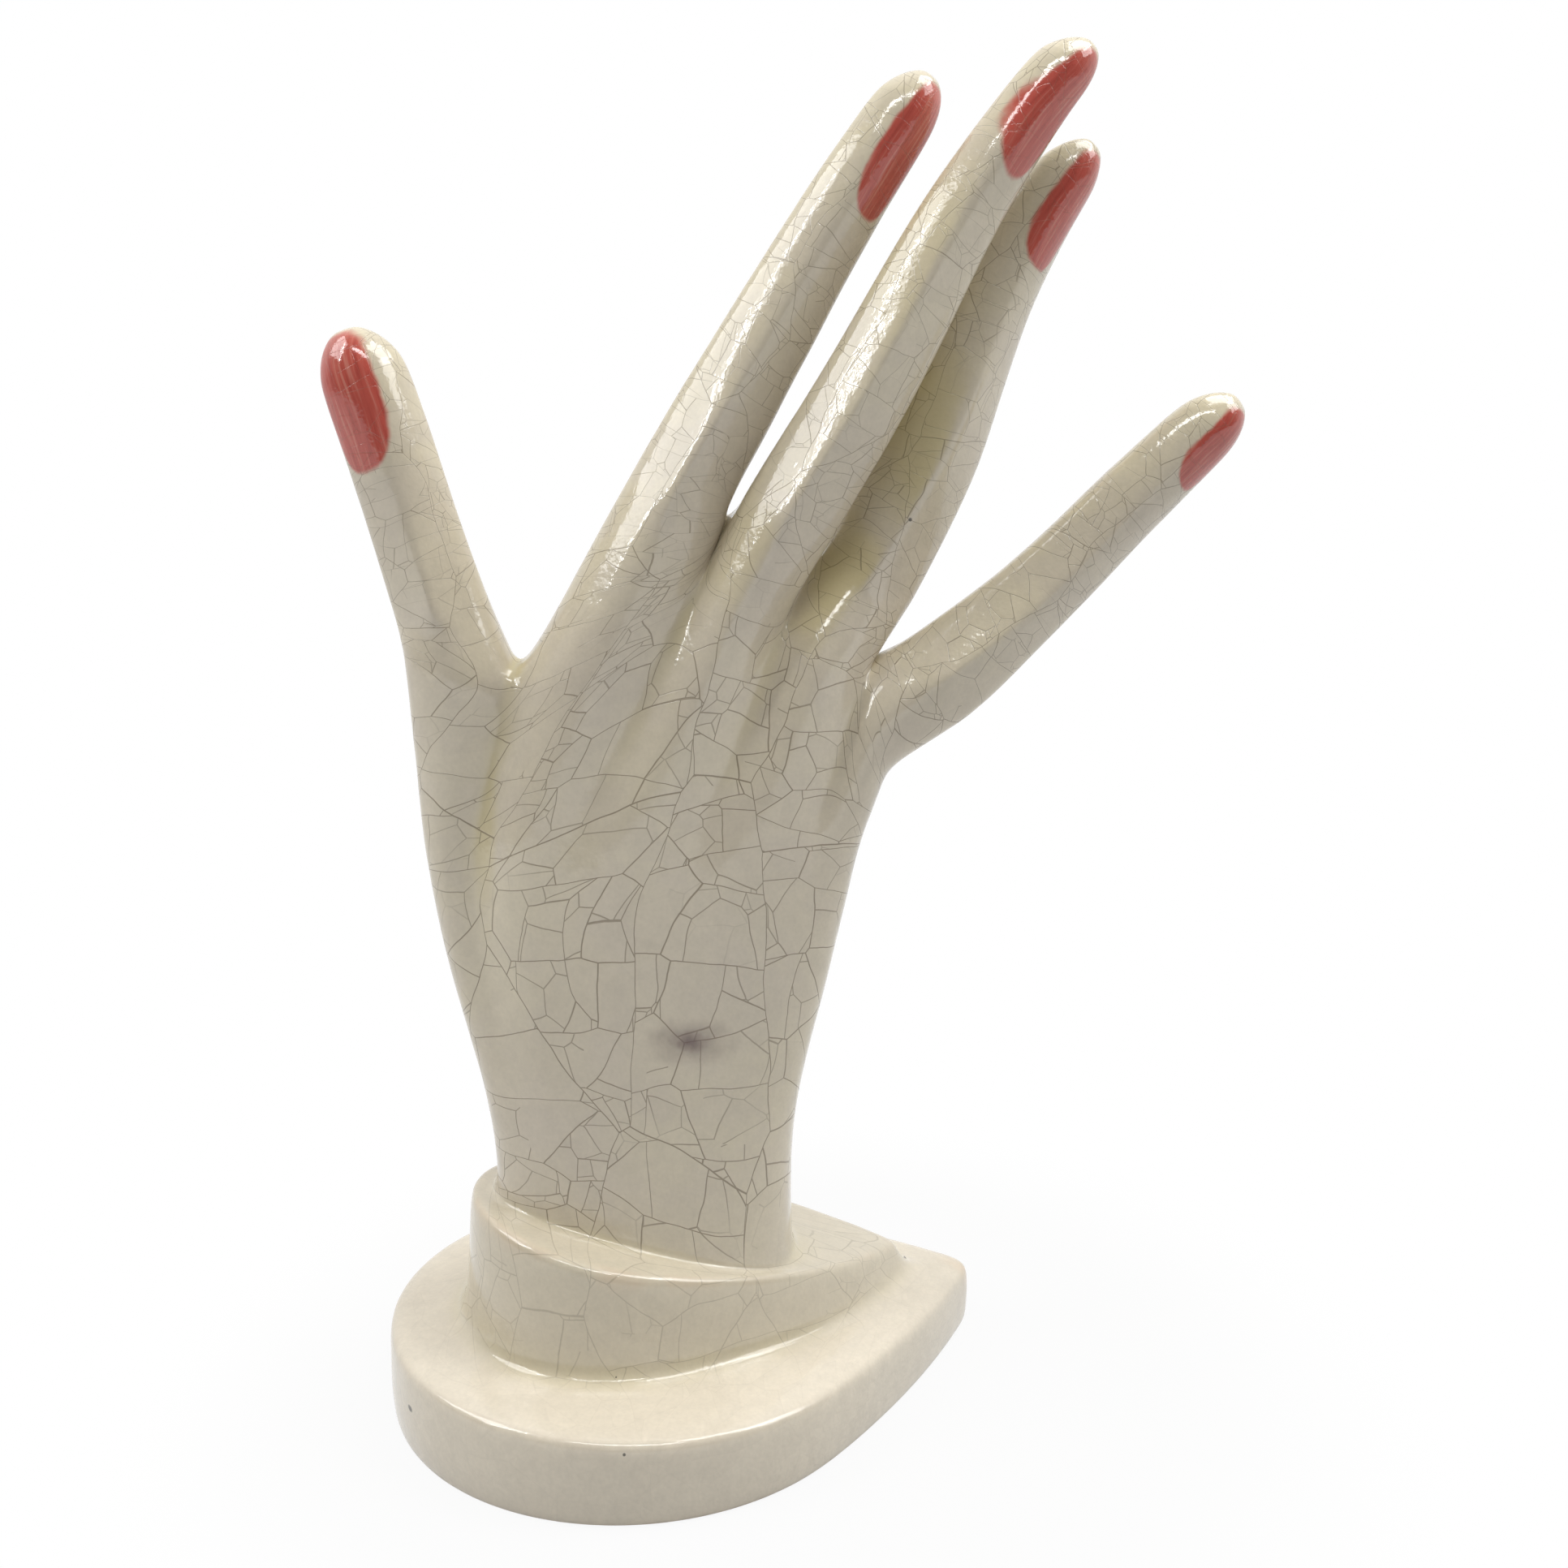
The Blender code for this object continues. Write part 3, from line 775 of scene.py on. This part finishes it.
class Recipe:
    """The nodes of one material or of the world."""

    def __init__(self, tree):
        self.tree = tree
        tree.nodes.clear()

    def node(self, kind, settings=None, sockets=None, out=0):
        """Adds a node, with its settings first and then its sockets, and gives an output."""
        made = self.tree.nodes.new(kind)
        for name, value in (settings or {}).items():
            setattr(made, name, value)
        for key, value in (sockets or {}).items():
            if isinstance(value, Wire):
                self.tree.links.new(value.socket, made.inputs[key])
            else:
                made.inputs[key].default_value = value
        return Wire(self, made.outputs[out]) if len(made.outputs) else made

    def blend(self, share, first, second, way="MIX"):
        settings = {"data_type": "RGBA", "blend_type": way}
        return self.node("ShaderNodeMix", settings, {0: share, 6: first, 7: second}, 2)

    def vector(self, operation, first, second):
        return self.node("ShaderNodeVectorMath", {"operation": operation}, {0: first, 1: second})

    def band(self, value, start, end, low=0.0, high=1.0):
        """Goes smoothly from low to high while the value goes from start to end."""
        sockets = {"Value": value, "From Min": start, "From Max": end, "To Min": low, "To Max": high}
        return self.node("ShaderNodeMapRange", {"interpolation_type": "SMOOTHSTEP"}, sockets)

    def noise(self, place, scale, detail=2.0, out="Fac"):
        sockets = {"Vector": place, "Scale": scale, "Detail": detail}
        return self.node("ShaderNodeTexNoise", None, sockets, out)

    def patches(self, place, scale, start, end, detail=2.0):
        """Soft patches: 0 where the noise is below the start, 1 where it is over the end."""
        return self.band(self.noise(place, scale, detail), start, end)

    def cells(self, place, feature, out):
        settings = {"voronoi_dimensions": "2D", "feature": feature}
        sockets = {"Vector": place, "Scale": 1.0, "Randomness": CELL_RANDOMNESS}
        return self.node("ShaderNodeTexVoronoi", settings, sockets, out)

    def read(self, name, out):
        return self.node("ShaderNodeAttribute", {"attribute_name": name}, None, out)

    def part(self, colour, number):
        """One of a colour's or a place's three numbers."""
        return self.node("ShaderNodeSeparateXYZ", None, {0: colour}, number)

    def about(self, place, middle, radii):
        """Distance from a spot in radii: 0 in the middle, 1 at the edge."""
        away = self.vector("SUBTRACT", place, middle)
        away = self.vector("DIVIDE", away, radii)
        return self.node("ShaderNodeVectorMath", {"operation": "LENGTH"}, {0: away}, "Value")


def new_material(name):
    made = bpy.data.materials.new(name)
    made.use_nodes = True
    return made


# Glaze: thick and glossy over buff clay. It crazed as it cooled, in four generations: long
# cracks first, then shorter and finer ones inside their pieces. Dirt has browned the cracks.
CREAM = (0.680, 0.612, 0.476, 1.0)
CREAM_MAUVE = (0.620, 0.550, 0.465, 1.0)
CREAM_YELLOW = (0.700, 0.620, 0.430, 1.0)
PLINTH_CREAM = (0.770, 0.695, 0.565, 1.0)
# The pooled yellow also serves as painted shade between the fingers
POOLED_YELLOW_AND_SHADE = (0.640, 0.550, 0.290, 1.0)
CRAZE_BROWN = (0.235, 0.185, 0.122, 1.0)
SMUDGE_BROWN = (0.150, 0.095, 0.085, 1.0)
SPECK_BLACK = (0.030, 0.025, 0.020, 1.0)
PEACH_WEAR = (0.700, 0.540, 0.380, 1.0)
BARE_CLAY = (0.560, 0.470, 0.360, 1.0)
CORAL = (0.520, 0.072, 0.052, 1.0)
CORAL_PALE = (0.620, 0.190, 0.145, 1.0)
CORAL_DEEP = (0.420, 0.045, 0.034, 1.0)

crazed_glaze = new_material("crazed_cream_glaze")
glaze = Recipe(crazed_glaze.node_tree)
place = glaze.node("ShaderNodeTexCoord", out="Object")
on_hand = glaze.read("hand", "Fac")
on_cuff = glaze.read("cuff", "Fac")
on_fingers = glaze.read("fingers", "Fac")
hollow = glaze.read("hollow", "Fac")
flat_place = glaze.node("ShaderNodeUVMap", {"uv_map": "flat"}, None, "UV")

# How cracks wander: bends to the metre, and how far off the straight in metres
WANDER = ((28.0, 0.0100), (100.0, 0.0018), (420.0, 0.0002))
NOISE_MEAN = 0.5
bent = flat_place
for scale, reach in WANDER:
    sway = glaze.noise(flat_place, scale, 1.0, "Color")
    sway = glaze.vector("SUBTRACT", sway, (NOISE_MEAN, NOISE_MEAN, NOISE_MEAN))
    bent = glaze.vector("ADD", bent, glaze.vector("MULTIPLY", sway, (reach, reach, 0.0)))

# Each generation of cracks: pieces to the metre across and along, how strong its lines are,
# how far they fade in patches, and in what share of the pieces they lie. One generation's
# pieces shift the next one's pattern, so that its lines end at the older cracks.
GENERATIONS = (
    (40.0, 18.0, 0.95, 0.0, 1.0),
    (52.0, 84.0, 0.95, 0.1, 1.0),
    (92.0, 62.0, 0.90, 0.3, 0.65),
    (125.0, 140.0, 0.75, 0.8, 0.40),
)
CELL_RANDOMNESS = 0.72
CRACK_HALF_WIDTH = 0.00005
CRACK_STAIN = 0.00011
SHIFT_PER_PIECE = 19.0
FILLED_SOFTNESS = 0.05


def crack_lines(piece_place, across, along, strength):
    """Stained lines between the pieces of a pattern with so many to the metre."""
    scale = math.sqrt(across * along)
    start, end = CRACK_HALF_WIDTH * scale, (CRACK_HALF_WIDTH + CRACK_STAIN) * scale
    edge = glaze.cells(piece_place, "DISTANCE_TO_EDGE", "Distance")
    return glaze.band(edge, start, end, strength, 0.0)


fading_patches = glaze.patches(place, 42.0, 0.36, 0.58)
crack = 0.0
cell_colour = (0.0, 0.0, 0.0)
for across, along, strength, fading, filled in GENERATIONS:
    piece_place = glaze.vector("MULTIPLY", bent, (across, along, 0.0))
    shift = glaze.vector("MULTIPLY", cell_colour, (SHIFT_PER_PIECE, SHIFT_PER_PIECE, 0.0))
    piece_place = glaze.vector("ADD", piece_place, shift)
    line = crack_lines(piece_place, across, along, strength)
    line = line * (fading_patches * fading + (1.0 - fading))
    line = line * glaze.band(glaze.part(cell_colour, 1), filled, filled - FILLED_SOFTNESS)
    crack = line.or_more(crack)
    cell_colour = glaze.cells(piece_place, "F1", "Color")
cell_tone = glaze.part(cell_colour, 0)

# Fine cracks across the fingers, in patches: pieces to the metre across and along
RUNGS = (42.0, 150.0)
RUNG_STRENGTH = 0.9
rung = crack_lines(glaze.vector("MULTIPLY", bent, (*RUNGS, 0.0)), *RUNGS, RUNG_STRENGTH)
rung = rung * glaze.band(on_fingers, 0.45, 0.80) * glaze.patches(place, 50.0, 0.44, 0.56)
crack = rung.or_more(crack)

# How strong all cracks are on the plinth, and how much that changes further up
CRACKS_ON_PLINTH = 0.04
MORE_ON_CUFF = 0.38
MORE_ON_HAND = 0.58
LESS_ON_FINGERS = 0.18
crack_zone = on_hand * MORE_ON_HAND + on_cuff * MORE_ON_CUFF + CRACKS_ON_PLINTH
crack = crack * (crack_zone - on_fingers * LESS_ON_FINGERS)

# The cream wanders in broad patches, is painted yellower where a finger faces up, as warm
# light falling on it, has fine blotches on the hand, and is grainy. Every piece between cracks
# has a tone of its own.
MAUVE_SHARE = 0.50
YELLOW_SHARE = 0.25
PAINTED_LIGHT_FACING_UP = 0.75
BLOTCHES_ON_PLINTH, MORE_BLOTCHES_ON_HAND = 0.03, 0.25
FINE_GRAIN, COARSE_GRAIN, PIECE_TONES = 0.11, 0.13, 0.04
DARKEST_TONE = 0.86
mottle = glaze.patches(place, 22.0, 0.35, 0.70, 3.0)
drift = glaze.patches(place, 9.0, 0.40, 0.65)
facing = glaze.node("ShaderNodeTexCoord", out="Normal")
upward = glaze.part(facing, 2)
leftward = glaze.part(facing, 0) * -1.0
colour = glaze.blend(on_cuff, PLINTH_CREAM, CREAM)
colour = glaze.blend(mottle * on_hand * MAUVE_SHARE, colour, CREAM_MAUVE)
colour = glaze.blend(drift * on_hand * YELLOW_SHARE, colour, CREAM_YELLOW)
# Painted light: the fingers' upward faces are tinted yellower, as if lit warmly from above
painted_warm_light = glaze.band(upward, -0.1, 0.6) * on_fingers * PAINTED_LIGHT_FACING_UP
colour = glaze.blend(painted_warm_light, colour, CREAM_YELLOW)
blotches = glaze.patches(place, 120.0, 0.42, 0.62, 4.0)
blotches = blotches * (on_hand * MORE_BLOTCHES_ON_HAND + BLOTCHES_ON_PLINTH)
colour = glaze.blend(blotches, colour, CREAM_MAUVE)
grain = glaze.noise(place, 1400.0, 1.0) * FINE_GRAIN + glaze.noise(place, 380.0, 3.0) * COARSE_GRAIN
tone = cell_tone * PIECE_TONES + grain + DARKEST_TONE
tone_colour = glaze.node("ShaderNodeCombineColor", None, {0: tone, 1: tone, 2: tone})
colour = glaze.blend(1.0, colour, tone_colour, "MULTIPLY")

# Thick yellow glaze between the fingers and beside the thumb, and painted shade where a
# finger's side lies in its neighbour's shade: middle, radii and strength
POOLS_AND_PAINTED_SHADE = (
    ((0.0108, 0.0020, 0.1515), (0.0095, 0.0250, 0.0180), 0.75),
    ((0.0250, 0.0000, 0.1790), (0.0100, 0.0250, 0.0200), 0.70),
    ((-0.0054, 0.0000, 0.1588), (0.0090, 0.0250, 0.0150), 0.35),
    ((-0.0545, -0.0080, 0.1150), (0.0028, 0.0250, 0.0230), 0.50),
    ((0.0235, -0.0100, 0.2050), (0.0110, 0.0300, 0.0240), 0.30),
)
ragged_pool_and_shade = (glaze.noise(place, 130.0) - NOISE_MEAN) * 0.9
for pool_and_shade_place, pool_and_shade_radii, strength in POOLS_AND_PAINTED_SHADE:
    pool_and_shade = glaze.band(glaze.about(place, pool_and_shade_place, pool_and_shade_radii) + ragged_pool_and_shade, 0.35, 1.25, 1.0, 0.0)
    # Painted shade: the pools show only on faces turned left, darkening the side of a finger that lies in
    # its neighbour's shade
    pool_and_shade = pool_and_shade * glaze.band(leftward, -0.15, 0.35)
    colour = glaze.blend(pool_and_shade * strength, colour, POOLED_YELLOW_AND_SHADE)

# It also lies thick in creases, and so thin on the edges of plinth and cuff that peach shows
POOLING_ON_PLINTH, MORE_POOLING_ON_HAND = 0.32, 0.50
PEACH_SHARE = 0.35
CRAZE_SHARE = 0.85
pooling = glaze.band(hollow, 0.04, 0.45) * glaze.band(glaze.noise(place, 90.0), 0.30, 0.60, 0.45, 1.0)
pooling = pooling * (on_hand * MORE_POOLING_ON_HAND + POOLING_ON_PLINTH)
colour = glaze.blend(pooling, colour, POOLED_YELLOW_AND_SHADE)
thin = glaze.band(hollow, -0.06, -0.40) * (1.0 - on_hand) * glaze.patches(place, 150.0, 0.30, 0.65)
colour = glaze.blend(thin * PEACH_SHARE, colour, PEACH_WEAR)
colour = glaze.blend(crack * CRAZE_SHARE, colour, CRAZE_BROWN)

# Marks of use and of the kiln: a brown smudge on the wrist, dark specks and a worn point
SMUDGE_PLACE = (-0.0170, -0.0155, 0.0731)
SMUDGE_RADII = (0.0105, 0.0200, 0.0058)
SPECK_DEPTH = 0.0060
SPECKS = (
    ((0.0223, -0.0040, 0.1659), 0.00045),
    ((-0.0265, -0.0473, 0.0136), 0.00034),
    ((-0.0297, -0.0332, 0.0170), 0.00022),
    ((-0.0668, -0.0285, 0.0097), 0.00070),
    ((0.0253, 0.0191, 0.0135), 0.00035),
)
POINT_PLACE = (0.0397, 0.0210, 0.0120)
POINT_WEAR_RADII = (0.0090, 0.0090, 0.0090)
POINT_WEAR_SHARE = 0.55

smudge = glaze.about(place, SMUDGE_PLACE, SMUDGE_RADII) + glaze.noise(place, 260.0, 3.0) * 0.7
smudge = glaze.band(smudge, 0.30, 1.35, 0.60, 0.0) + glaze.band(smudge, 0.25, 0.75, 0.32, 0.0)
colour = glaze.blend(smudge, colour, SMUDGE_BROWN)
for speck_place, speck_radius in SPECKS:
    speck = glaze.about(place, speck_place, (speck_radius, SPECK_DEPTH, speck_radius))
    colour = glaze.blend(glaze.band(speck, 0.5, 1.0, 0.85, 0.0), colour, SPECK_BLACK)
wear = glaze.about(place, POINT_PLACE, POINT_WEAR_RADII) + glaze.noise(place, 180.0, 3.0) * 0.8
wear = glaze.band(wear, 0.45, 1.35, 1.0, 0.0)
colour = glaze.blend(wear * POINT_WEAR_SHARE, colour, PEACH_WEAR)

# Nail enamel: brushed on in long strokes over the glaze, with soft ends, and paler towards the
# tip as a painted highlight
NAIL_SIDE_POWER = 2.6
NAIL_END_POWER = 3.2
STROKES = (7.0, 0.9, 0.0)
PAINTED_HIGHLIGHT_AT_TIP = 0.35
CRAZE_IN_ENAMEL = 0.30
ENAMEL_COVER = 0.95
nail = glaze.read("nail", "Vector")
nail_across, nail_along, nail_facing = (glaze.part(nail, number) for number in range(3))
ragged = (glaze.noise(place, 420.0) - NOISE_MEAN) * 0.20
nail_reach = abs(nail_across) ** NAIL_SIDE_POWER + abs(nail_along) ** NAIL_END_POWER + ragged
on_nail = glaze.band(nail_reach, 0.80, 1.08, 1.0, 0.0) * glaze.band(nail_facing, 0.0, 0.3)
stroke = glaze.noise(glaze.vector("MULTIPLY", nail, STROKES), 1.0, 4.0)
enamel = glaze.blend(glaze.band(stroke, 0.50, 0.70), CORAL, CORAL_PALE)
enamel = glaze.blend(glaze.band(stroke, 0.50, 0.32), enamel, CORAL_DEEP)
# Painted highlight: the enamel turns paler towards the nail's tip
enamel = glaze.blend(glaze.band(nail_along, -0.55, -0.95) * PAINTED_HIGHLIGHT_AT_TIP, enamel, CORAL_PALE)
enamel = glaze.blend(crack * CRAZE_IN_ENAMEL, enamel, CRAZE_BROWN)
colour = glaze.blend(on_nail * ENAMEL_COVER, colour, enamel)

# The foot's rim is wiped clean of glaze before firing, up to a ragged height
WIPED_BELOW, GLAZED_ABOVE = 0.0006, 0.0014
WIPE_RAGGEDNESS = 0.0008
height = glaze.part(place, 2) + glaze.noise(place, 300.0) * WIPE_RAGGEDNESS
bare = glaze.band(height, WIPED_BELOW, GLAZED_ABOVE, 1.0, 0.0)
colour = glaze.blend(bare, colour, BARE_CLAY)

# The glaze's surface ripples, dips at the cracks and stands up at the enamel, in shares of
# a height. It is glossy, but dull in the cracks, at the worn point and on bare clay.
RIPPLE_HEIGHT = 0.00006
GLAZE_IOR = 1.65
GLOSS_ROUGHNESS = 0.07
ripple = glaze.noise(place, 420.0)
dimple = glaze.noise(place, 1500.0, 1.0)
surface = ripple * 1.2 + dimple * 0.35 - crack * 0.3 + on_nail * 0.4
bump = glaze.node("ShaderNodeBump", None, {"Distance": RIPPLE_HEIGHT, "Height": surface, "Strength": 1.0})
roughness = glaze.noise(place, 60.0, 3.0) * 0.06 + GLOSS_ROUGHNESS
roughness = roughness + crack * 0.15 + bare * 0.55 + wear * 0.15
finish = {"Base Color": colour, "Roughness": roughness, "Normal": bump, "IOR": GLAZE_IOR}
skin_shader = glaze.node("ShaderNodeBsdfPrincipled", None, finish)
glaze.node("ShaderNodeOutputMaterial", None, {"Surface": skin_shader})

skin.materials.append(crazed_glaze)
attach(glazed_hand, "root")
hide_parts("ceramic_hand")

# Ground: a plain white sheet that runs out of view. It keeps the stand's soft shadow, and
# turns to even white further off.
GROUND_REACH = 4.0
GROUND_WHITE = (0.60, 0.60, 0.59, 1.0)
GROUND_DROP = 0.0001
SHADOW_REACH = (0.07, 0.13)
SHADOW_WHITENESS = (0.93, 1.0)
PURE_WHITE = (1.0, 1.0, 1.0, 1.0)
SQUARE = ((-1, -1), (1, -1), (1, 1), (-1, 1))
corners = [(x * GROUND_REACH, y * GROUND_REACH, -GROUND_DROP) for x, y in SQUARE]
ground_mesh = bpy.data.meshes.new("ground")
ground_mesh.from_pydata(corners, [], [(0, 1, 2, 3)])
ground = new_object("ground", ground_mesh)
ground_paper = new_material("ground_paper")
paper = Recipe(ground_paper.node_tree)
seen = paper.node("ShaderNodeLightPath", out="Is Camera Ray")
seen = seen.or_more(paper.node("ShaderNodeLightPath", out="Is Glossy Ray"))
far_off = paper.about(paper.node("ShaderNodeTexCoord", out="Object"), (0.0, 0.0, 0.0), (1.0, 1.0, 1.0))
whiteness = paper.band(far_off, *SHADOW_REACH, *SHADOW_WHITENESS)
matte = paper.node("ShaderNodeBsdfDiffuse", None, {"Color": GROUND_WHITE})
white = paper.node("ShaderNodeEmission", None, {"Color": PURE_WHITE, "Strength": 1.0})
sheet = paper.node("ShaderNodeMixShader", None, {0: seen * whiteness, 1: matte, 2: white})
paper.node("ShaderNodeOutputMaterial", None, {"Surface": sheet})
ground_mesh.materials.append(ground_paper)

# Light: a white tent, open and dark towards the camera, with soft lamps high at both sides
# and overhead, a wide one in front, and a narrow one on the left for crisp glints. The tent
# grows lighter from front to back: from and to where, and how light, as lit and as mirrored.
TENT_LIT = (-0.75, -0.10, 0.00, 0.46)
TENT_MIRRORED = (-0.35, 0.40, 0.08, 1.00)
scene = bpy.context.scene
world = bpy.data.worlds.new("tent")
world.use_nodes = True
scene.world = world
tent = Recipe(world.node_tree)
shows = tent.node("ShaderNodeLightPath", out="Is Camera Ray")
mirrored = tent.node("ShaderNodeLightPath", out="Is Glossy Ray")
backward = tent.part(tent.node("ShaderNodeTexCoord", out="Generated"), 1)
level = tent.band(backward, *TENT_LIT) * (1.0 - mirrored)
level = level + tent.band(backward, *TENT_MIRRORED) * mirrored
inside = tent.node("ShaderNodeBackground", None, {"Color": PURE_WHITE, "Strength": level})
backdrop = tent.node("ShaderNodeBackground", None, {"Color": PURE_WHITE, "Strength": 1.0})
lit = tent.node("ShaderNodeMixShader", None, {0: shows, 1: inside, 2: backdrop})
tent.node("ShaderNodeOutputWorld", None, {"Surface": lit})


def add_lamp(name, at, towards, size, power):
    lamp = bpy.data.lights.new(name, "AREA")
    lamp.shape = "RECTANGLE"
    lamp.size, lamp.size_y = size
    lamp.energy = power
    holder = new_object(name, lamp)
    holder.location = at
    way = Vector(towards) - Vector(at)
    holder.rotation_euler = way.to_track_quat("-Z", "Y").to_euler()


# Each lamp: place, where it points, width and height, and watts
STAND_MIDDLE = (0.0, 0.0, 0.15)
add_lamp("left", (-0.50, -0.08, 0.60), STAND_MIDDLE, (0.36, 0.36), 1.75)
add_lamp("glint", (-0.46, -0.20, 0.55), STAND_MIDDLE, (0.012, 0.30), 0.3)
add_lamp("right", (0.50, -0.05, 0.60), STAND_MIDDLE, (0.30, 0.30), 1.2)
add_lamp("overhead", (0.30, 0.05, 0.75), STAND_MIDDLE, (0.36, 0.36), 2.2)
add_lamp("front", (0.00, -0.35, 0.75), STAND_MIDDLE, (0.50, 0.08), 1.5)

# Camera: square on and close, a little above the stand's middle and looking down. Its place
# and its focal length, in pixels of the photograph's width, were fitted to the outline.
CAMERA_PLACE = (-0.000117, -0.266304, 0.1638)
CAMERA_DOWN = math.radians(9.8)
PHOTO_WIDTH = 1932
FOCAL_PIXELS = 1800
SENSOR_WIDTH = 36.0
lens = bpy.data.cameras.new("camera")
lens.sensor_width = SENSOR_WIDTH
lens.lens = SENSOR_WIDTH * (FOCAL_PIXELS / PHOTO_WIDTH)
lens.clip_start = 0.01
lens.clip_end = 50.0
camera = new_object("camera", lens)
camera.location = CAMERA_PLACE
camera.rotation_euler = (math.pi / 2 - CAMERA_DOWN, 0.0, 0.0)
scene.camera = camera
scene.view_settings.view_transform = "Standard"
